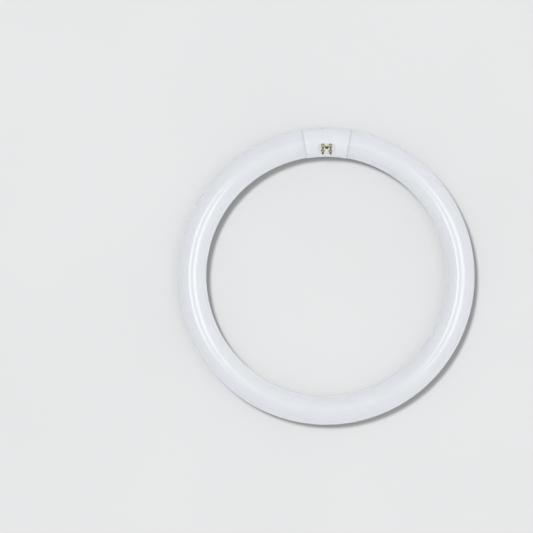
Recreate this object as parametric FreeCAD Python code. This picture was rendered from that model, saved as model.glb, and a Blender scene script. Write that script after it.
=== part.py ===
import FreeCAD, Part
import math
import os

from FreeCAD import Vector

# Circular fluorescent tube: a glass ring closed by a two-part plastic base with four contact pins.
# Millimetres and degrees. The ring's axis is +Z through the origin, z = 0 is the surface it lies on,
# and the base is centred on +Y. The pins stand up and lean towards the ring's centre.

os.makedirs("parts", exist_ok=True)

# ---------------------------------------------------------------- driving dimensions
ring_od = 304.8          # outside diameter of the glass ring
tube_d = 29.5            # outside diameter of the glass tube
base_proud = 0.3         # the base stands this far out of the tube's surface, all round

base_half_deg = 9.4      # half of the arc that the base covers
shoulder_gap_deg = 0.012 # from the base's end face to the rolled shoulder of the glass
grip_start_deg = 6.2     # the collar that grips the neck starts here
grip_relief_deg = 0.15   # and stops this far short of the base's end, clear of the shoulder's root

neck_r = 13.05           # glass neck inside the base
neck_clear = 0.05        # radial clearance of collar on neck
shoulder_out_r = 0.35    # rounding of the rolled shoulder, outside
shoulder_in_r = 0.35     # and at its root on the neck
rim_deg = 3.7            # where the neck ends, each side of the base's centre
rim_r = 1.5              # rounding of the fire-polished rim
flare_mouth_r = 9.0      # trumpet-shaped stem flare, sealed to the rim
flare_waist_r = 5.0
flare_root_r = 4.6
flare_waist = 6.0        # depth of the waist
flare_depth = 12.0       # depth of the stem press
stub_r = 2.0             # tipped-off exhaust tube
stub_tip = 2.0           # depth of its tip behind the rim

shell_in_r = 13.4        # inside of the base shells between the collars
seam_gap = 0.02          # between the halves
seam_chamfer = 0.28      # makes the visible parting line
tongue_r = 14.25         # locating tongue on the back half, and its groove in the front half
tongue_w, tongue_h = 0.6, 0.6
groove_w, groove_d = 0.7, 0.7
end_round = 0.25         # rounding of the base's ends
notch_x = -4.9           # small pry notch in the outer seam, on the back half
notch_w, notch_h, notch_d = 3.4, 1.5, 1.0

pin_tilt = 26.0          # the pins' lean from +Z towards the ring's centre
pin_dx = 7.92            # pin spacing along the tube
pin_dq = 6.35            # pin spacing across the tube
pin_r = 1.2              # contact pin
pin_out = 7.5            # how far a pin stands out of its flat
pin_flange_r, pin_flange_t = 1.75, 0.6
pin_shank_r = 1.1        # in the wall
pin_bore_r = 0.32        # the lead wire runs up inside the pin
pin_tail = 2.2           # below the pad's underside
pad_h = 14.15            # height of the pins' flat over the tube's centreline
pad_half_x = 7.7
pad_under = 11.6         # underside of the thick wall behind the flat
pad_block_x, pad_block_q = 8.0, 7.0

rivet_shank_r, rivet_bore_r = 1.2, 0.75
rivet_head_r, rivet_head_t = 2.05, 0.7
rivet_hole_r = 1.25
rivet_q = 0.9            # the rivet stands this much nearer to the outer pins
rivet_seat = 13.75       # depth of the rivet's seat in the back half, from the centreline
rivet_cbore_r = 2.3
boss_r = 2.7

wire_r = 0.25            # lead wire
wire_off = 3.3           # where a lead leaves the stem press, off the tube's centreline
wire_end = 16.6          # how high the lead reaches inside its pin
wire_knee_x = 10.6       # first bend of the lead
wire_knee_p = 0.8        # height of its second bend, under the pin

# ---------------------------------------------------------------- derived places
tube_r = tube_d / 2
base_r = tube_r + base_proud
ring_r = ring_od / 2 - tube_r
axis_z = base_r          # the base touches the surface, and the tube clears it by base_proud
tilt = math.radians(pin_tilt)
X = Vector(1, 0, 0)
Z = Vector(0, 0, 1)
P = Vector(0, -math.sin(tilt), math.cos(tilt))   # along the pins, outwards
Q = Vector(0, math.cos(tilt), math.sin(tilt))    # across the tube, away from the ring's centre
C = Vector(0, ring_r, axis_z)                    # centre of the base, on the tube's centreline
O = Vector(0, 0, 0)


def at(x, q, p):
    """A point near the base, from its centre: along the tube, across it, and along the pins."""
    return C + X * x + Q * q + P * p


def loop(points):
    """A closed face from points. A pair (mid, end) in the list is an arc from the last point."""
    edges, last = [], points[0]
    for item in points[1:] + [points[0]]:
        if isinstance(item, tuple):
            edges.append(Part.Arc(last, item[0], item[1]).toShape())
            last = item[1]
        else:
            if (item - last).Length > 1e-6:
                edges.append(Part.LineSegment(last, item).toShape())
            last = item
    return Part.Face(Part.Wire(edges))


def around(face, start, end):
    """Turns a face that stands at the base's centre about the ring's axis, from one angle to another."""
    turned = face.copy()
    turned.rotate(O, Z, -start)
    return turned.revolve(O, Z, -(end - start))


def disc(r):
    return Part.Face(Part.Wire(Part.makeCircle(r, C, X)))


def ring_face(r_out, r_in, half=None):
    """A whole or half ring in the tube's section. half is +1 on the pins' side and -1 behind."""
    if half is None:
        return disc(r_out).cut(disc(r_in)).Faces[0]
    g = seam_gap / 2 * half
    q_out, q_in = math.sqrt(r_out**2 - g**2), math.sqrt(r_in**2 - g**2)
    return loop([at(0, q_out, g), (at(0, 0, r_out * half), at(0, -q_out, g)), at(0, -q_in, g), (at(0, 0, r_in * half), at(0, q_in, g))])


def rod(x, q, p0, p1, r):
    """A cylinder along the pins' direction."""
    return Part.makeCylinder(r, p1 - p0, at(x, q, p0), P)


def turned(x, q, profile):
    """Turns a profile of (radius, height) about a line along the pins' direction. An arc is (mid, end)."""
    def put(rp):
        return at(x, q, 0) + X * rp[0] + P * rp[1]

    pts = [(put(i[0]), put(i[1])) if isinstance(i[0], tuple) else put(i) for i in profile]
    return loop(pts).revolve(at(x, q, 0), P, 360)


def one(shape, name):
    """The single solid of a shape, cleaned of seams between equal faces."""
    shape = shape.removeSplitter()
    solids = shape.Solids
    if len(solids) != 1 or not solids[0].isValid():
        raise RuntimeError("%s: %d solids, valid %s" % (name, len(solids), [s.isValid() for s in solids]))
    solid = solids[0]
    if solid.Volume < 0:
        solid.reverse()
    return solid


def save(name, solid):
    solid.exportStep("parts/%s.step" % name)
    box = solid.optimalBoundingBox(False)
    print("%-18s %10.1f mm3  x %.2f..%.2f  y %.2f..%.2f  z %.2f..%.2f" % (name, solid.Volume, box.XMin, box.XMax, box.YMin, box.YMax, box.ZMin, box.ZMax))


def circles(shape, r, theta_deg, tol=0.02):
    """Edges that are circles of one radius about the tube's centreline, at one angle of the ring."""
    t = math.radians(theta_deg)
    mid = Vector(ring_r * math.sin(t), ring_r * math.cos(t), axis_z)
    found = []
    for e in shape.Edges:
        if e.Degenerated:
            continue
        c = e.Curve
        if c.TypeId == "Part::GeomCircle" and abs(c.Radius - r) < tol and (c.Center - mid).Length < tol:
            found.append(e)
    return found


# ---------------------------------------------------------------- glass tube: one sealed body
# The ring of tube, with a narrower neck at each end that reaches into the base.
shoulder_deg = base_half_deg + shoulder_gap_deg
glass = around(disc(tube_r), shoulder_deg, 360 - shoulder_deg)
for side in (1, -1):
    glass = glass.fuse(around(disc(neck_r), side * rim_deg, side * (shoulder_deg + 1.0)))
glass = glass.removeSplitter()
for side in (1, -1):
    glass = glass.makeFillet(shoulder_out_r, circles(glass, tube_r, side * shoulder_deg))
    glass = glass.makeFillet(shoulder_in_r, circles(glass, neck_r, side * shoulder_deg))

# Each neck ends in a stem: the flare turns back inside the rim, down to the press that the leads come out of,
# and the tipped-off exhaust tube stands in its middle.
stem_axis, stem_floor = {}, {}
for side in (1, -1):
    t = math.radians(rim_deg)
    mouth = Vector(side * ring_r * math.sin(t), ring_r * math.cos(t), axis_z)
    inward = Vector(side * math.cos(t), -math.sin(t), 0)

    def put(u, r):
        return mouth + inward * u + Z * r

    bend_u, bend_r = flare_waist * 0.32, flare_waist_r + (flare_mouth_r - flare_waist_r) * 0.34
    recess = loop([
        put(-2.0, 0), put(-2.0, flare_mouth_r), put(0, flare_mouth_r),
        (put(bend_u, bend_r), put(flare_waist, flare_waist_r)),
        put(flare_depth, flare_root_r), put(flare_depth, stub_r), put(stub_tip + stub_r, stub_r),
        (put(stub_tip + stub_r * (1 - math.sqrt(0.5)), stub_r * math.sqrt(0.5)), put(stub_tip, 0)),
    ]).revolve(mouth, inward, 360)
    glass = glass.cut(recess)
    stem_axis[side], stem_floor[side] = inward, mouth + inward * flare_depth
for side in (1, -1):
    glass = glass.makeFillet(rim_r, circles(glass, neck_r, side * rim_deg) + circles(glass, flare_mouth_r, side * rim_deg))
glass = one(glass, "glass_tube")
save("glass_tube", glass)

# ---------------------------------------------------------------- base: two moulded half shells
def seam_face(half):
    """The wall's section with its parting chamfers, and a tongue on the back half or a groove in the front."""
    g = seam_gap / 2 * half
    c, past = seam_chamfer, 1.2   # the section runs past the base's skin, which trims it
    if half > 0:
        w, h = groove_w / 2, groove_d
        lip = [(tongue_r + w, g), (tongue_r + w, h), (tongue_r - w, h), (tongue_r - w, g)]
    else:
        w, h = tongue_w / 2, tongue_h
        lip = [(tongue_r + w, g), (tongue_r + w, h), (tongue_r - w, h), (tongue_r - w, g)]
    right = [at(0, base_r + past, g + (c + past) * half), at(0, base_r - c, g)] + [at(0, q, p) for q, p in lip]
    left = [at(0, -q, p) for q, p in reversed(lip)] + [at(0, -base_r + c, g), at(0, -base_r - past, g + (c + past) * half)]
    q_in = math.sqrt(shell_in_r**2 - g**2)
    points = right + [at(0, q_in, g), (at(0, 0, shell_in_r * half), at(0, -q_in, g))] + left
    return loop(points + [(at(0, 0, (base_r + past) * half), points[0])])


pins_at = [(x * pin_dx / 2, q * pin_dq / 2) for q in (1, -1) for x in (-1, 1)]
skin = around(disc(base_r), -base_half_deg, base_half_deg)
skin = skin.makeFillet(end_round, circles(skin, base_r, base_half_deg) + circles(skin, base_r, -base_half_deg))
halves = {}
for half in (1, -1):
    shell = around(seam_face(half), -base_half_deg - 1, base_half_deg + 1).common(skin)
    for side in (1, -1):  # collars that grip the necks
        shell = shell.fuse(around(ring_face(shell_in_r + 0.25, neck_r + neck_clear, half), side * grip_start_deg, side * (base_half_deg - grip_relief_deg)))
    if half > 0:
        # thick wall behind the flat that the pins are riveted to
        inside = around(disc(shell_in_r + 0.25), -base_half_deg + 1, base_half_deg - 1)
        block = Part.makeBox(2 * pad_block_x, 2 * pad_block_q, pad_h - pad_under, Vector(-pad_block_x, -pad_block_q, 0))
        block.rotate(O, X, pin_tilt)
        block.translate(C + P * pad_under)
        shell = shell.fuse(block.common(inside))
        shell = shell.fuse(rod(0, rivet_q, seam_gap / 2, pad_under + 0.5, boss_r))
        slope = 3.0
        cut_pad = loop([at(-pad_half_x, -12, pad_h), at(pad_half_x, -12, pad_h), at(pad_half_x + slope, -12, pad_h + slope), at(-pad_half_x - slope, -12, pad_h + slope)]).extrude(Q * 24)
        shell = shell.cut(cut_pad)
        for x, q in pins_at:
            shell = shell.cut(rod(x, q, pad_under - 1, pad_h + 1, pin_shank_r + 0.03))
        shell = shell.cut(rod(0, rivet_q, -1, pad_h + 1, rivet_hole_r))
    else:
        boss = rod(0, rivet_q, -shell_in_r - 0.6, -seam_gap / 2, boss_r)
        boss = boss.common(around(disc(base_r - 0.3), -5, 5))
        shell = shell.fuse(boss)
        shell = shell.cut(rod(0, rivet_q, -base_r - 2, 1, rivet_hole_r))
        shell = shell.cut(rod(0, rivet_q, -base_r - 2, -rivet_seat, rivet_cbore_r))
        # pry notch in the outer seam, which takes the tongue with it
        shell = shell.cut(Part.makeBox(notch_w, 4, notch_h + 1, Vector(-notch_w / 2, base_r - notch_d, -notch_h), Z).transformed(
            FreeCAD.Placement(C + X * notch_x + Vector(0, -notch_x**2 / 2 / ring_r, 0), FreeCAD.Rotation(X, pin_tilt)).toMatrix()))
    halves[half] = shell
front = one(halves[1], "base_shell_front")
back = one(halves[-1], "base_shell_back")
save("base_shell_front", front)
save("base_shell_back", back)

# ---------------------------------------------------------------- rivet through the gap between the glass ends
hr, ht, sr, br = rivet_head_r, rivet_head_t, rivet_shank_r, rivet_bore_r
lo, hi = -rivet_seat, pad_h
r_mid, roll = (hr + br) / 2, (hr - br) / 2
rivet = turned(0, rivet_q, [
    (br, lo - ht * 0.55), ((r_mid, lo - ht), (hr, lo - ht * 0.4)), (hr, lo - 0.01), (sr, lo - 0.01),
    (sr, hi + 0.01), (hr, hi + 0.01), (hr, hi + ht * 0.4), ((r_mid, hi + ht), (br, hi + ht * 0.55)),
])
rivet = one(rivet, "base_rivet")
save("base_rivet", rivet)

# ---------------------------------------------------------------- four hollow contact pins
pins = []
for n, (x, q) in enumerate(pins_at, 1):
    top = pad_h + pin_out
    dome = 0.95
    s = 0.70
    pin = turned(x, q, [
        (0, wire_end + 0.4), (pin_bore_r, wire_end + 0.4), (pin_bore_r, pad_under - pin_tail + 0.25), (pin_bore_r + 0.25, pad_under - pin_tail),
        (pin_shank_r - 0.15, pad_under - pin_tail), (pin_shank_r, pad_under - pin_tail + 0.15),
        (pin_shank_r, pad_under - 0.9), (pin_shank_r + 0.45, pad_under - 0.35), (pin_shank_r + 0.45, pad_under - 0.01), (pin_shank_r, pad_under - 0.01),
        (pin_shank_r, pad_h + 0.01), (pin_flange_r, pad_h + 0.01), (pin_flange_r, pad_h + pin_flange_t - 0.15), (pin_flange_r - 0.15, pad_h + pin_flange_t),
        (pin_r, pad_h + pin_flange_t), (pin_r, top - dome), ((pin_r * 0.80, top - dome * 0.36), (pin_r * 0.40, top - 0.05)),
        (pin_r * 0.30, top - 0.12), (0, top - 0.16),
    ])
    pin = one(pin, "contact_pin_%d" % n)
    pins.append(pin)
    save("contact_pin_%d" % n, pin)


# ---------------------------------------------------------------- lead wires from the stems to the pins
def bent_wire(points, r):
    """A round wire along straight runs joined by tangent arcs, as one solid: each arc is as large as its runs allow."""
    edges, start, length, radii = [], points[0], 0.0, []
    for a, b, c in zip(points, points[1:], points[2:]):
        d1, d2 = (b - a).normalize(), (c - b).normalize()
        turn = d1.getAngle(d2)
        run = min((b - a).Length, (c - b).Length)
        radius = 0.45 * run / math.tan(turn / 2)
        radius = min(radius, 12.0)
        back_off = radius * math.tan(turn / 2)
        p1, p2 = b - d1 * back_off, b + d2 * back_off
        side = (d2 - d1).normalize()
        mid = b + side * (radius / math.cos(turn / 2) - radius)
        edges.append(Part.LineSegment(start, p1).toShape())
        edges.append(Part.Arc(p1, mid, p2).toShape())
        length += (p1 - start).Length + radius * turn
        radii.append(round(radius, 2))
        start = p2
    edges.append(Part.LineSegment(start, points[-1]).toShape())
    length += (points[-1] - start).Length
    path = Part.Wire(edges)
    section = Part.Wire(Part.makeCircle(r, points[0], points[1] - points[0]))
    solid = path.makePipeShell([section], True, True)
    return solid, length, radii


wires = []
for n, (x, q) in enumerate(pins_at, 1):
    side = 1 if x > 0 else -1
    inward = stem_axis[side]
    across = Q - inward * Q.dot(inward)
    across.normalize()
    start = stem_floor[side] + across * (wire_off * (1 if q > 0 else -1)) - inward * 0.01
    run = (start.x * side - wire_knee_x) / (inward.x * side)
    knee = start - inward * run
    under = at(x, q, wire_knee_p)
    end = at(x, q, wire_end)
    wire, length, radii = bent_wire([start, knee, under, end], wire_r)
    wire = one(wire, "lead_wire_%d" % n)
    expect = math.pi * wire_r**2 * length
    print("lead_wire_%d length %.2f radii %s volume %.3f against section x length %.3f" % (n, length, radii, wire.Volume, expect))
    if abs(wire.Volume - expect) > 0.01 * expect:
        raise RuntimeError("lead wire volume")
    wires.append(wire)
    save("lead_wire_%d" % n, wire)
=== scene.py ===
import math

import bmesh
import bpy
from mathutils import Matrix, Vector


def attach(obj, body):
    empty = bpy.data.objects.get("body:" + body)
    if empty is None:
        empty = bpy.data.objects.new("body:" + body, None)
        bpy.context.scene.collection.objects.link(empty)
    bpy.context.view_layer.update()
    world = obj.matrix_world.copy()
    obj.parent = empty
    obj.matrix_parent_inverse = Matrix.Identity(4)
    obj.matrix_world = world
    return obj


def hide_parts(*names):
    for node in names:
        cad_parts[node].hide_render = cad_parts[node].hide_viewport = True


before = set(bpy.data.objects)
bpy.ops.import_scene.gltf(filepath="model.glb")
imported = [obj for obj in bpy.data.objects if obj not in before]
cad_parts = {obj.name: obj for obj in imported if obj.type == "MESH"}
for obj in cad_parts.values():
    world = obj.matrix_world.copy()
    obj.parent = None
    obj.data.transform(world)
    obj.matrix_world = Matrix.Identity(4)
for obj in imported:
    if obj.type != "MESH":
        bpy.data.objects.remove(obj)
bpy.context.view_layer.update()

# ---------------------------------------------------------------- the lamp's driving sizes, in metres
MM = 0.001
RING_R = 137.65 * MM         # centreline radius of the glass ring
TUBE_R = 14.75 * MM
BASE_R = 15.05 * MM          # the base's skin, a little proud of the tube
AXIS_Z = 15.05 * MM          # height of the centreline over the surface it lies on
SHOULDER_DEG = 9.412         # where the full-width tube ends, each side of the base's centre
NECK_R = 13.05 * MM
SHOULDER_OUT, SHOULDER_IN = 0.35 * MM, 0.35 * MM
RIM_DEG = 3.7
RIM_R = 1.5 * MM
FLARE_MOUTH, FLARE_WAIST, FLARE_ROOT = 9.0 * MM, 5.0 * MM, 4.6 * MM
FLARE_WAIST_U, FLARE_DEPTH = 6.0 * MM, 12.0 * MM
STUB_R, STUB_TIP = 2.0 * MM, 2.0 * MM
PIN_TILT = math.radians(26.0)
PAD_H, PIN_OUT = 14.15 * MM, 7.5 * MM
RIVET_Q = 0.9 * MM           # the rivet stands this much nearer to the outer pins

P_AXIS = Vector((0, -math.sin(PIN_TILT), math.cos(PIN_TILT)))
Q_AXIS = Vector((0, math.cos(PIN_TILT), math.sin(PIN_TILT)))
BASE_C = Vector((0, RING_R, AXIS_Z))

scene = bpy.context.scene
scene.view_settings.view_transform = "Standard"
scene.view_settings.look = "None"
scene.view_settings.exposure = 0.0
scene.view_settings.gamma = 1.0


# ---------------------------------------------------------------- node helpers
class Graph:
    """A small helper that builds one material's node graph."""

    def __init__(self, name):
        self.mat = bpy.data.materials.new(name)
        self.mat.use_nodes = True
        self.nt = self.mat.node_tree
        self.nt.nodes.clear()
        out = self.nt.nodes.new("ShaderNodeOutputMaterial")
        self.bsdf = self.nt.nodes.new("ShaderNodeBsdfPrincipled")
        self.nt.links.new(self.bsdf.outputs["BSDF"], out.inputs["Surface"])

    def put(self, sink, value):
        if isinstance(value, bpy.types.NodeSocket):
            self.nt.links.new(value, sink)
        else:
            sink.default_value = value

    def set(self, **values):
        for key, value in values.items():
            self.put(self.bsdf.inputs[key.replace("_", " ")], value)

    def math(self, op, a, b=None, c=None, clamp=False):
        n = self.nt.nodes.new("ShaderNodeMath")
        n.operation, n.use_clamp = op, clamp
        for i, v in enumerate((a, b, c)):
            if v is not None:
                self.put(n.inputs[i], v)
        return n.outputs[0]

    def vmath(self, op, a, b=None, scale=None):
        n = self.nt.nodes.new("ShaderNodeVectorMath")
        n.operation = op
        self.put(n.inputs[0], a)
        if b is not None:
            self.put(n.inputs[1], b)
        if scale is not None:
            self.put(n.inputs["Scale"], scale)
        return n.outputs["Value"] if op in ("DOT_PRODUCT", "LENGTH", "DISTANCE") else n.outputs["Vector"]

    def place(self):
        """Position on the object, in millimetres."""
        n = self.nt.nodes.new("ShaderNodeTexCoord")
        return self.vmath("SCALE", n.outputs["Object"], scale=1000.0)

    def split(self, v):
        n = self.nt.nodes.new("ShaderNodeSeparateXYZ")
        self.put(n.inputs[0], v)
        return n.outputs[0], n.outputs[1], n.outputs[2]

    def join(self, x, y, z):
        n = self.nt.nodes.new("ShaderNodeCombineXYZ")
        for i, v in enumerate((x, y, z)):
            self.put(n.inputs[i], v)
        return n.outputs[0]

    def noise(self, vector, scale, detail=3.0, rough=0.5, warp=0.0):
        n = self.nt.nodes.new("ShaderNodeTexNoise")
        self.put(n.inputs["Vector"], vector)
        n.inputs["Scale"].default_value = scale
        n.inputs["Detail"].default_value = detail
        n.inputs["Roughness"].default_value = rough
        n.inputs["Distortion"].default_value = warp
        return n.outputs["Fac"]

    def range(self, v, lo, hi, to_lo=0.0, to_hi=1.0, smooth=True):
        n = self.nt.nodes.new("ShaderNodeMapRange")
        n.interpolation_type = "SMOOTHSTEP" if smooth else "LINEAR"
        self.put(n.inputs["Value"], v)
        for key, x in (("From Min", lo), ("From Max", hi), ("To Min", to_lo), ("To Max", to_hi)):
            self.put(n.inputs[key], x)
        return n.outputs["Result"]

    def ramp(self, fac, stops):
        n = self.nt.nodes.new("ShaderNodeValToRGB")
        self.put(n.inputs["Fac"], fac)
        e = n.color_ramp.elements
        while len(e) < len(stops):
            e.new(0.5)
        for el, (pos, colour) in zip(e, stops):
            el.position = pos
            el.color = (*colour, 1.0)
        return n.outputs["Color"]

    def mix(self, fac, a, b, kind="MIX"):
        n = self.nt.nodes.new("ShaderNodeMix")
        n.data_type, n.blend_type, n.clamp_factor = "RGBA", kind, True
        self.put(n.inputs["Factor"], fac)
        for key, v in (("A", a), ("B", b)):
            sink = [s for s in n.inputs if s.name == key and s.type == "RGBA"][0]
            self.put(sink, (*v, 1.0) if isinstance(v, tuple) and len(v) == 3 else v)
        return [s for s in n.outputs if s.type == "RGBA"][0]

    def bump(self, height, distance_mm, strength=1.0, normal=None):
        n = self.nt.nodes.new("ShaderNodeBump")
        n.inputs["Strength"].default_value = strength
        n.inputs["Distance"].default_value = distance_mm * MM
        self.put(n.inputs["Height"], height)
        if normal is not None:
            self.put(n.inputs["Normal"], normal)
        return n.outputs["Normal"]


def ring_coords(g, pos):
    """Arc length along the ring from the point opposite the base, and section angle from the top, in radians."""
    x, y, z = g.split(pos)
    along = g.math("ARCTAN2", x, g.math("MULTIPLY", y, -1.0))
    out = g.math("SUBTRACT", g.math("SQRT", g.math("ADD", g.math("MULTIPLY", x, x), g.math("MULTIPLY", y, y))), RING_R / MM)
    up = g.math("SUBTRACT", z, AXIS_Z / MM)
    section = g.math("ARCTAN2", out, up)
    return along, section, x, y, z


# ---------------------------------------------------------------- materials
def coated_glass():
    """Clear glass over a white powder coating: a glossy wall over a soft, faintly uneven white."""
    g = Graph("coated_glass")
    pos = g.place()
    along, section, x, y, z = ring_coords(g, pos)
    # the coating ran along the tube while wet: long faint drifts, and a fine powder grain
    drift = g.noise(g.join(g.math("MULTIPLY", along, 4.2), g.math("MULTIPLY", section, 2.4), 0.0), 1.0, 4.0, 0.55)
    cloud = g.noise(pos, 0.045, 4.0, 0.55)
    grain = g.noise(pos, 2.6, 2.0, 0.6)
    tone = g.math("ADD", g.math("MULTIPLY", drift, 0.45), g.math("ADD", g.math("MULTIPLY", cloud, 0.40), g.math("MULTIPLY", grain, 0.15)))
    colour = g.ramp(tone, [(0.30, (0.744, 0.774, 0.813)), (0.50, (0.764, 0.792, 0.830)), (0.70, (0.784, 0.810, 0.846))])
    # a greyer strip in the last few millimetres before each shoulder, where the glass meets the base: partly thinner
    # coating, partly painted shade in that crease
    edge = g.math("SUBTRACT", math.pi - math.radians(SHOULDER_DEG), g.math("ABSOLUTE", along))
    edge_mm = g.math("MULTIPLY", edge, RING_R / MM)
    wobble = g.math("MULTIPLY", g.math("SUBTRACT", g.noise(pos, 0.22, 2.0), 0.5), 1.6)
    shoulder_shade_band = g.range(g.math("ADD", edge_mm, wobble), 0.2, 3.4, 1.0, 0.0)
    # painted shade: the greyer strip is mixed into the glass's colour beside the base
    colour = g.mix(g.math("MULTIPLY", shoulder_shade_band, 0.15), colour, (0.64, 0.67, 0.72))
    # wall thickness of drawn glass wanders a little along the tube
    wave = g.noise(g.join(g.math("MULTIPLY", along, 7.0), g.math("MULTIPLY", section, 3.0), 0.0), 1.0, 2.0, 0.5)
    smudge = g.noise(pos, 0.09, 5.0, 0.62, 0.4)
    rough = g.range(smudge, 0.42, 0.72, 0.035, 0.075)
    g.set(Base_Color=colour, Roughness=rough, IOR=1.5, Normal=g.bump(wave, 0.05, 0.6))
    g.set(Coat_Weight=1.0, Coat_Roughness=0.02, Coat_IOR=1.5)
    g.set(Subsurface_Weight=0.45, Subsurface_Radius=(1.0, 1.0, 1.0), Subsurface_Scale=8.0 * MM)
    return g.mat


def base_plastic():
    """White moulded plastic with a cool cast: semi-gloss, fine spark-eroded grain, faint flow marks."""
    g = Graph("base_plastic")
    pos = g.place()
    cloud = g.noise(pos, 0.09, 3.0, 0.5)
    speck = g.noise(pos, 6.5, 2.0, 0.6)
    tone = g.math("ADD", g.math("MULTIPLY", cloud, 0.75), g.math("MULTIPLY", speck, 0.25))
    colour = g.ramp(tone, [(0.30, (0.764, 0.800, 0.858)), (0.50, (0.785, 0.818, 0.872)), (0.70, (0.806, 0.836, 0.886))])
    rough = g.range(g.noise(pos, 0.35, 4.0, 0.6), 0.35, 0.70, 0.30, 0.42)
    grain = g.noise(pos, 5.0, 3.0, 0.65)
    g.set(Base_Color=colour, Roughness=rough, IOR=1.5, Normal=g.bump(grain, 0.012, 0.8))
    return g.mat


def contact_brass():
    """Turned brass, greenish yellow, with painted shade on the flange, a painted highlight on the pin's lower half, and
    olive to brown towards its tip, partly tarnished and partly painted shade.
    """
    g = Graph("contact_brass")
    pos = g.place()
    c = tuple(v / MM for v in BASE_C)
    height = g.math("SUBTRACT", g.vmath("DOT_PRODUCT", g.vmath("SUBTRACT", pos, c), tuple(P_AXIS)), PAD_H / MM)
    blotch = g.noise(pos, 0.9, 4.0, 0.6, 0.3)
    fine = g.noise(pos, 5.0, 3.0, 0.65)
    tone = g.math("ADD", g.math("MULTIPLY", blotch, 0.65), g.math("MULTIPLY", fine, 0.35))
    colour = g.ramp(tone, [(0.32, (0.56, 0.50, 0.19)), (0.50, (0.74, 0.68, 0.29)), (0.68, (0.86, 0.82, 0.42))])
    # painted shade: the flange is coloured darker than the pin above it, more so on the inner pair
    outer = g.range(g.vmath("DOT_PRODUCT", g.vmath("SUBTRACT", pos, c), tuple(Q_AXIS)), -1.0, 1.0)
    flange = g.range(height, 0.64, 0.76, 1.0, 0.0)
    flange_painted_shade = g.mix(outer, (0.13, 0.118, 0.052), (0.18, 0.162, 0.072))
    colour = g.mix(g.math("MULTIPLY", flange, 0.95), colour, flange_painted_shade)
    # painted highlight: the lower half of the pin is coloured bright, more so on the outer pair
    bright = g.math("MULTIPLY", g.range(height, 0.64, 0.76), g.range(height, 2.8, 5.6, 1.0, 0.0))
    highlight_strength = g.math("ADD", 0.40, g.math("MULTIPLY", outer, 0.55))
    colour = g.mix(g.math("MULTIPLY", bright, highlight_strength), colour, (0.95, 0.88, 0.50))
    # the pin darkens towards its tip, partly tarnished from handling and partly painted shade on the pin's shaded end:
    # olive on most, browner where the slow patches fall
    patch = g.range(g.noise(pos, 0.16, 1.0), 0.42, 0.58)
    tip_tarnish_and_shade = g.mix(patch, (0.125, 0.110, 0.050), (0.150, 0.085, 0.042))
    wander = g.math("ADD", height, g.math("MULTIPLY", g.math("SUBTRACT", blotch, 0.5), 1.4))
    tip = g.range(wander, 3.7, 6.3)
    colour = g.mix(g.math("MULTIPLY", tip, 0.85), colour, tip_tarnish_and_shade)
    # turning marks round the pin
    lathe = g.noise(g.join(0.0, 0.0, g.math("MULTIPLY", height, 9.0)), 1.0, 3.0, 0.6)
    rough = g.range(fine, 0.3, 0.7, 0.22, 0.38)
    g.set(Base_Color=colour, Metallic=1.0, Roughness=rough, Normal=g.bump(lathe, 0.015, 0.7))
    return g.mat


def rivet_brass():
    """Rolled tubular rivet: brown brass of low lustre, with painted shade down its centre hole and a painted highlight
    at one spot of the roll.
    """
    g = Graph("rivet_brass")
    pos = g.place()
    c = tuple(v / MM for v in BASE_C + Q_AXIS * RIVET_Q)
    away = g.vmath("SUBTRACT", pos, c)
    height = g.vmath("DOT_PRODUCT", away, tuple(P_AXIS))
    radial = g.vmath("LENGTH", g.vmath("SUBTRACT", away, g.vmath("SCALE", tuple(P_AXIS), scale=height)))
    blotch = g.noise(pos, 1.3, 4.0, 0.6, 0.3)
    colour = g.ramp(blotch, [(0.32, (0.17, 0.155, 0.065)), (0.50, (0.27, 0.245, 0.11)), (0.68, (0.40, 0.365, 0.18))])
    # painted shade: the centre hole is coloured near black
    bore_painted_shade = g.range(radial, 0.85, 1.15, 1.0, 0.0)
    colour = g.mix(g.math("MULTIPLY", bore_painted_shade, 0.4), colour, (0.06, 0.05, 0.025))
    across = g.vmath("DOT_PRODUCT", away, tuple(Q_AXIS))
    side = g.math("ABSOLUTE", g.split(away)[0])
    # painted highlight: a bright spot on the outer side of the head's roll, near its middle
    painted_highlight_spot = g.math("MULTIPLY", g.range(across, 0.0, 0.8), g.range(side, 0.3, 0.8, 1.0, 0.0))
    colour = g.mix(g.math("MULTIPLY", painted_highlight_spot, 0.9), colour, (0.95, 0.91, 0.66))
    rough = g.range(g.noise(pos, 4.0, 3.0, 0.6), 0.3, 0.7, 0.32, 0.50)
    g.set(Base_Color=colour, Metallic=1.0, Roughness=rough, Normal=g.bump(blotch, 0.02, 0.7))
    return g.mat


def lead_metal():
    """Drawn nickel-plated wire, with fine die lines along it."""
    g = Graph("lead_metal")
    pos = g.place()
    blotch = g.noise(pos, 1.1, 3.0, 0.55)
    colour = g.ramp(blotch, [(0.35, (0.44, 0.42, 0.39)), (0.65, (0.62, 0.60, 0.56))])
    lines = g.noise(g.vmath("MULTIPLY", pos, (0.3, 9.0, 9.0)), 1.0, 3.0, 0.6)
    g.set(Base_Color=colour, Metallic=1.0, Roughness=g.range(lines, 0.3, 0.7, 0.25, 0.38), Normal=g.bump(lines, 0.006, 0.6))
    return g.mat


def studio_floor():
    g = Graph("studio_floor")
    pos = g.place()
    soft = g.noise(pos, 0.004, 2.0, 0.5)
    tooth = g.noise(pos, 0.6, 3.0, 0.6)
    tone = g.math("ADD", g.math("MULTIPLY", soft, 0.8), g.math("MULTIPLY", tooth, 0.2))
    colour = g.ramp(tone, [(0.3, (0.379, 0.382, 0.385)), (0.7, (0.391, 0.394, 0.397))])
    g.set(Base_Color=colour, Roughness=0.9, Specular_IOR_Level=0.1)
    return g.mat


# ---------------------------------------------------------------- glass tube, as one dense loft of rings
def arc_points(centre, radius, a0, a1, n):
    return [(centre[0] + radius * math.cos(a0 + (a1 - a0) * i / n), centre[1] + radius * math.sin(a0 + (a1 - a0) * i / n)) for i in range(n + 1)]


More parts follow.
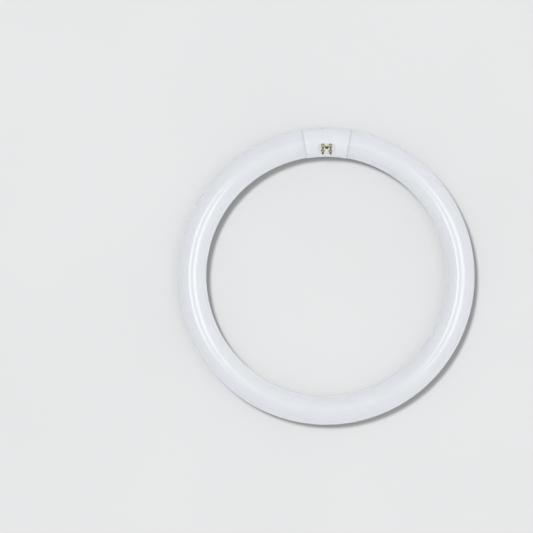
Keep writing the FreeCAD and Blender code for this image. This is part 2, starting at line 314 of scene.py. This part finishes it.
def neck_profile():
    """(distance along the centreline past the shoulder's face, radius) from the full tube to the rim's inner side.
    Distances count from the shoulder towards the base's centre."""
    to_rim = math.radians(SHOULDER_DEG - RIM_DEG) * RING_R
    pts = arc_points((-SHOULDER_OUT, TUBE_R - SHOULDER_OUT), SHOULDER_OUT, math.pi / 2, 0.0, 10)
    pts += [(0.0, (TUBE_R - SHOULDER_OUT + NECK_R + SHOULDER_IN) / 2)]
    pts += arc_points((SHOULDER_IN, NECK_R + SHOULDER_IN), SHOULDER_IN, math.pi, math.pi * 1.5, 6)
    pts += [(SHOULDER_IN + (to_rim - RIM_R - SHOULDER_IN) * f, NECK_R) for f in (0.25, 0.5, 0.75)]
    pts += arc_points((to_rim - RIM_R, NECK_R - RIM_R), RIM_R, math.pi / 2, 0.0, 10)
    pts += arc_points((to_rim - RIM_R, FLARE_MOUTH + RIM_R), RIM_R, 0.0, -math.pi / 2, 10)
    return pts, to_rim


def glass_mesh(segments=96, steps=640):
    bm = bmesh.new()

    def section(angle, dist, radius):
        """A ring of vertices round the centreline: angle is from the base's centre, clockwise seen from above."""
        a = angle
        mid = Vector((RING_R * math.sin(a), RING_R * math.cos(a), AXIS_Z))
        out = Vector((math.sin(a), math.cos(a), 0))
        ring = []
        for k in range(segments):
            s = 2 * math.pi * k / segments
            ring.append(bm.verts.new(mid + (out * math.sin(s) + Vector((0, 0, 1)) * math.cos(s)) * radius + dist))
        return ring

    zero = Vector((0, 0, 0))
    profile, to_rim = neck_profile()
    rings = []

    def end_rings(side):
        """From the stem's tip out to the shoulder, for one end."""
        mouth_a = side * math.radians(RIM_DEG)
        inward = Vector((math.cos(mouth_a), -math.sin(mouth_a), 0)) * side
        made = []
        # exhaust stub, from its tip to the stem's floor
        for i in range(1, 9):
            t = math.pi / 2 * i / 8
            made.append(section(mouth_a, inward * (STUB_TIP + STUB_R * (1 - math.cos(t))), STUB_R * math.sin(t)))
        made.append(section(mouth_a, inward * (FLARE_DEPTH * 0.6), STUB_R))
        made.append(section(mouth_a, inward * (FLARE_DEPTH - 0.4 * MM), STUB_R))
        made.append(section(mouth_a, inward * FLARE_DEPTH, STUB_R + 0.3 * MM))
        made.append(section(mouth_a, inward * FLARE_DEPTH, (STUB_R + FLARE_ROOT) / 2))
        made.append(section(mouth_a, inward * FLARE_DEPTH, FLARE_ROOT - 0.3 * MM))
        made.append(section(mouth_a, inward * (FLARE_DEPTH - 0.3 * MM), FLARE_ROOT))
        # the trumpet of the flare: a curve from the waist out to the mouth
        bend = (FLARE_WAIST_U * 0.32, FLARE_WAIST + (FLARE_MOUTH - FLARE_WAIST) * 0.34)
        p0, p1, p2 = Vector((0, FLARE_MOUTH)), Vector(bend), Vector((FLARE_WAIST_U, FLARE_WAIST))
        d = 2 * (p0.x * (p1.y - p2.y) + p1.x * (p2.y - p0.y) + p2.x * (p0.y - p1.y))
        cx = (p0.length_squared * (p1.y - p2.y) + p1.length_squared * (p2.y - p0.y) + p2.length_squared * (p0.y - p1.y)) / d
        cy = (p0.length_squared * (p2.x - p1.x) + p1.length_squared * (p0.x - p2.x) + p2.length_squared * (p1.x - p0.x)) / d
        c, r = Vector((cx, cy)), (p0 - Vector((cx, cy))).length
        a0 = math.atan2(p0.y - c.y, p0.x - c.x)
        a2 = math.atan2(p2.y - c.y, p2.x - c.x)
        if a2 - a0 > math.pi:
            a2 -= 2 * math.pi
        if a0 - a2 > math.pi:
            a2 += 2 * math.pi
        curve = [(c.x + r * math.cos(a0 + (a2 - a0) * i / 14), c.y + r * math.sin(a0 + (a2 - a0) * i / 14)) for i in range(15)]
        curve = [(u, q) for u, q in curve if u > RIM_R * 0.9]
        made.append(section(mouth_a, inward * (FLARE_WAIST_U + 3.0 * MM), (FLARE_WAIST + FLARE_ROOT) / 2))
        for u, q in reversed(curve):
            made.append(section(mouth_a, inward * u, q))
        # rim, neck and shoulder, from the inside out
        for dist, radius in reversed(profile):
            made.append(section(side * (math.radians(SHOULDER_DEG) - dist / RING_R), zero, radius))
        return made

    start = end_rings(1)
    finish = list(reversed(end_rings(-1)))
    a0 = math.radians(SHOULDER_DEG) + SHOULDER_OUT / RING_R
    a1 = 2 * math.pi - a0
    middle = []
    for i in range(1, steps):
        middle.append(section(a0 + (a1 - a0) * i / steps, zero, TUBE_R))
    rings = start + middle + finish
    for a, b in zip(rings, rings[1:]):
        for k in range(segments):
            m = (k + 1) % segments
            bm.faces.new((a[k], a[m], b[m], b[k]))
    for ring, side in ((rings[0], 1), (rings[-1], -1)):
        mouth_a = side * math.radians(RIM_DEG)
        inward = Vector((math.cos(mouth_a), -math.sin(mouth_a), 0)) * side
        tip = bm.verts.new(Vector((RING_R * math.sin(mouth_a), RING_R * math.cos(mouth_a), AXIS_Z)) + inward * STUB_TIP)
        for k in range(segments):
            m = (k + 1) % segments
            bm.faces.new((ring[m], ring[k], tip) if side > 0 else (ring[k], ring[m], tip))
    bmesh.ops.recalc_face_normals(bm, faces=bm.faces)
    for f in bm.faces:
        f.smooth = True
    mesh = bpy.data.meshes.new("glass_tube_shell")
    bm.to_mesh(mesh)
    bm.free()
    return mesh


# ---------------------------------------------------------------- base shells, from the frame's own, with a finer skin
def refined(node, name, longest=1.1 * MM):
    """A copy of one half of the base: its long skin triangles are divided and laid back on the true curve."""
    src = node.data
    normals = [Vector(n.vector) for n in src.corner_normals]
    bm = bmesh.new()
    bm.from_mesh(src)
    keep = bm.loops.layers.float_vector.new("corner")
    mark = bm.faces.layers.int.new("skin")
    i = 0
    for f in bm.faces:
        for l in f.loops:
            l[keep] = normals[i]
            i += 1
    bmesh.ops.remove_doubles(bm, verts=bm.verts, dist=2e-6)

    def frame_at(p):
        flat = math.hypot(p.x, p.y)
        out, up = flat - RING_R, p.z - AXIS_Z
        rho = math.hypot(out, up)
        return rho, Vector((p.x / flat * out / rho, p.y / flat * out / rho, up / rho))

    def near(p, tol):
        return abs(frame_at(p)[0] - BASE_R) < tol

    for f in bm.faces:
        vs = [v.co for v in f.verts]
        mids = [(vs[k] + vs[k - 1]) / 2 for k in range(len(vs))]
        on = all(near(p, 0.02 * MM) for p in vs) and all(near(p, 0.3 * MM) for p in mids)
        f[mark] = int(on and f.normal.dot(frame_at(f.calc_center_median())[1]) > 0.95)
    for _ in range(6):
        long_edges = [e for e in bm.edges if e.calc_length() > longest and any(f[mark] for f in e.link_faces)]
        if not long_edges:
            break
        bmesh.ops.subdivide_edges(bm, edges=long_edges, cuts=1)
        bmesh.ops.triangulate(bm, faces=[f for f in bm.faces if len(f.verts) > 3])
    for v in bm.verts:
        if any(f[mark] for f in v.link_faces):
            rho, n = frame_at(v.co)
            v.co += n * (BASE_R - rho)
    bm.verts.ensure_lookup_table()
    bm.faces.index_update()
    split = []
    for f in bm.faces:
        f.smooth = True
        for l in f.loops:
            n = frame_at(l.vert.co)[1] if f[mark] else Vector(l[keep])
            split.append(n.normalized() if n.length > 1e-6 else Vector((0, 0, 0)))
    mesh = bpy.data.meshes.new(name)
    bm.to_mesh(mesh)
    bm.free()
    mesh.normals_split_custom_set([tuple(n) for n in split])
    for extra in ("corner", "skin"):
        if extra in mesh.attributes:
            mesh.attributes.remove(mesh.attributes[extra])
    ob = bpy.data.objects.new(name, mesh)
    scene.collection.objects.link(ob)
    return ob


# ---------------------------------------------------------------- the lamp
mats = {
    "coated_glass": coated_glass(),
    "base_plastic": base_plastic(),
    "contact_brass": contact_brass(),
    "rivet_brass": rivet_brass(),
    "lead_metal": lead_metal(),
}

glass = bpy.data.objects.new("glass_ring", glass_mesh())
scene.collection.objects.link(glass)
glass.data.materials.append(mats["coated_glass"])
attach(glass, "root")
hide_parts("glass_tube")

shells = []
for half in ("front", "back"):
    shell = refined(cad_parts["base_shell_" + half], "base_half_" + half)
    shell.data.materials.clear()
    shell.data.materials.append(mats["base_plastic"])
    for poly in shell.data.polygons:
        poly.material_index = 0
    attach(shell, "root")
    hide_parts("base_shell_" + half)
    shells.append(shell)

finish_of = {"glass_tube": "coated_glass", "base_shell_front": "base_plastic", "base_shell_back": "base_plastic", "base_rivet": "rivet_brass"}
for i in range(1, 5):
    finish_of["contact_pin_%d" % i] = "contact_brass"
    finish_of["lead_wire_%d" % i] = "lead_metal"
for name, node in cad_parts.items():
    node.data.materials.clear()
    node.data.materials.append(mats[finish_of[name]])

# ---------------------------------------------------------------- floor
floor_mesh = bpy.data.meshes.new("floor")
half = 40.0
floor_mesh.from_pydata([(-half, -half, 0), (half, -half, 0), (half, half, 0), (-half, half, 0)], [], [(0, 1, 2, 3)])
floor = bpy.data.objects.new("floor", floor_mesh)
scene.collection.objects.link(floor)
floor_mesh.materials.append(studio_floor())

# ---------------------------------------------------------------- camera: straight down, as the lamp is seen face-on
FRAME_PX = 533.0
PX = 304.8 * MM / 297.0              # metres to a pixel at the ring
ring_px = (326.15, 276.3)             # where the ring's centre lies in the frame
turn = math.radians(0.18)            # the lamp is turned this much clockwise in the frame
lens = 400.0
cam_data = bpy.data.cameras.new("camera")
cam_data.sensor_width = 36.0
cam_data.lens = lens
cam_data.clip_start, cam_data.clip_end = 0.1, 200.0
cam = bpy.data.objects.new("camera", cam_data)
scene.collection.objects.link(cam)
distance = FRAME_PX * PX / 36.0 * lens
off_x, off_y = -(ring_px[0] - FRAME_PX / 2) * PX, (ring_px[1] - FRAME_PX / 2) * PX
cam.location = (off_x * math.cos(turn) - off_y * math.sin(turn), off_x * math.sin(turn) + off_y * math.cos(turn), AXIS_Z + distance)
cam.rotation_euler = (0, 0, turn)
scene.camera = cam

# ---------------------------------------------------------------- light: an even bright tent with two softboxes overhead
world = bpy.data.worlds.new("studio")
scene.world = world
world.use_nodes = True
wt = world.node_tree
wt.nodes.clear()


def wnode(kind, **props):
    n = wt.nodes.new(kind)
    for k, v in props.items():
        setattr(n, k, v)
    return n


def wmath(op, a, b=None, clamp=False):
    n = wnode("ShaderNodeMath", operation=op, use_clamp=clamp)
    for i, v in enumerate((a, b)):
        if isinstance(v, bpy.types.NodeSocket):
            wt.links.new(v, n.inputs[i])
        elif v is not None:
            n.inputs[i].default_value = v
    return n.outputs[0]


def wstep(v, lo, hi):
    n = wnode("ShaderNodeMapRange", interpolation_type="SMOOTHSTEP")
    wt.links.new(v, n.inputs["Value"])
    n.inputs["From Min"].default_value, n.inputs["From Max"].default_value = lo, hi
    return n.outputs["Result"]


sky = wnode("ShaderNodeTexCoord")
sep = wnode("ShaderNodeSeparateXYZ")
wt.links.new(sky.outputs["Generated"], sep.inputs[0])
dx, dy, dz = sep.outputs
safe = wmath("MAXIMUM", dz, 0.05)
tx, ty = wmath("DIVIDE", dx, safe), wmath("DIVIDE", dy, safe)
above = wstep(dz, 0.1, 0.2)


def softbox(x0, x1, y0, y1, strength, sx=0.05, sy=0.12):
    """A bright rectangle overhead with feathered edges, in tangents of the angle from the vertical."""
    inside = wmath("MULTIPLY", wstep(tx, x0 - sx, x0 + sx), wmath("SUBTRACT", 1.0, wstep(tx, x1 - sx, x1 + sx)))
    inside = wmath("MULTIPLY", inside, wmath("MULTIPLY", wstep(ty, y0 - sy, y0 + sy), wmath("SUBTRACT", 1.0, wstep(ty, y1 - sy, y1 + sy))))
    return wmath("MULTIPLY", wmath("MULTIPLY", inside, above), strength)


def glow(cx, cy, spread, strength):
    """A soft round patch of light overhead."""
    ax, ay = wmath("SUBTRACT", tx, cx), wmath("SUBTRACT", ty, cy)
    d2 = wmath("ADD", wmath("MULTIPLY", ax, ax), wmath("MULTIPLY", ay, ay))
    g = wmath("EXPONENT", wmath("MULTIPLY", d2, -0.5 / spread**2))
    return wmath("MULTIPLY", wmath("MULTIPLY", g, above), strength)


# at the horizon the tent is as bright as the floor, so no line shows between them
over = wstep(dz, 0.01, 0.06)
tent = wmath("ADD", 0.805, wmath("MULTIPLY", over, wmath("ADD", -0.025, wmath("MULTIPLY", dx, 0.05))))
boxes = wmath("ADD", softbox(0.165, 0.68, -0.268, 0.258, 1.75), softbox(-0.50, -0.185, -0.245, 0.228, 2.1))
total = wmath("ADD", wmath("ADD", tent, boxes), glow(0.03, 0.14, 0.22, 0.42))
tint = wnode("ShaderNodeMix", data_type="RGBA")
wt.links.new(over, tint.inputs["Factor"])
tint_low, tint_high = [n for n in tint.inputs if n.type == "RGBA"]
tint_low.default_value = (1.0063, 1.0162, 1.0211, 1.0)
tint_high.default_value = (1.0, 1.0, 1.0, 1.0)
bg = wnode("ShaderNodeBackground")
wt.links.new([n for n in tint.outputs if n.type == "RGBA"][0], bg.inputs["Color"])
wt.links.new(total, bg.inputs["Strength"])
wout = wnode("ShaderNodeOutputWorld")
wt.links.new(bg.outputs[0], wout.inputs["Surface"])

# the light that throws the soft shadow onto the floor, down to the right
key_data = bpy.data.lights.new("key", "SUN")
key_data.energy = 3.6
key_data.angle = math.radians(11.0)
key = bpy.data.objects.new("key", key_data)
scene.collection.objects.link(key)
key_from = Vector((-math.sin(math.radians(19.0)) * math.sqrt(0.5), math.sin(math.radians(19.0)) * math.sqrt(0.5), math.cos(math.radians(19.0))))
key.rotation_mode = "QUATERNION"
key.rotation_quaternion = key_from.to_track_quat("Z", "Y")
lit_by_key = bpy.data.collections.new("lit_by_key")
lit_by_key.objects.link(floor)
key.light_linking.receiver_collection = lit_by_key

# a weak fill in the middle of the ring, for its inner side only, like a white card laid there
fill_data = bpy.data.lights.new("fill", "POINT")
fill_data.energy = 0.033
fill_data.shadow_soft_size = 0.05
fill = bpy.data.objects.new("fill", fill_data)
fill.location = (-0.025, 0.0, 0.03)
fill.visible_camera = False
fill.visible_glossy = False
scene.collection.objects.link(fill)
lit_by_fill = bpy.data.collections.new("lit_by_fill")
for piece in (glass, *shells):
    lit_by_fill.objects.link(piece)
fill.light_linking.receiver_collection = lit_by_fill

bpy.context.view_layer.update()
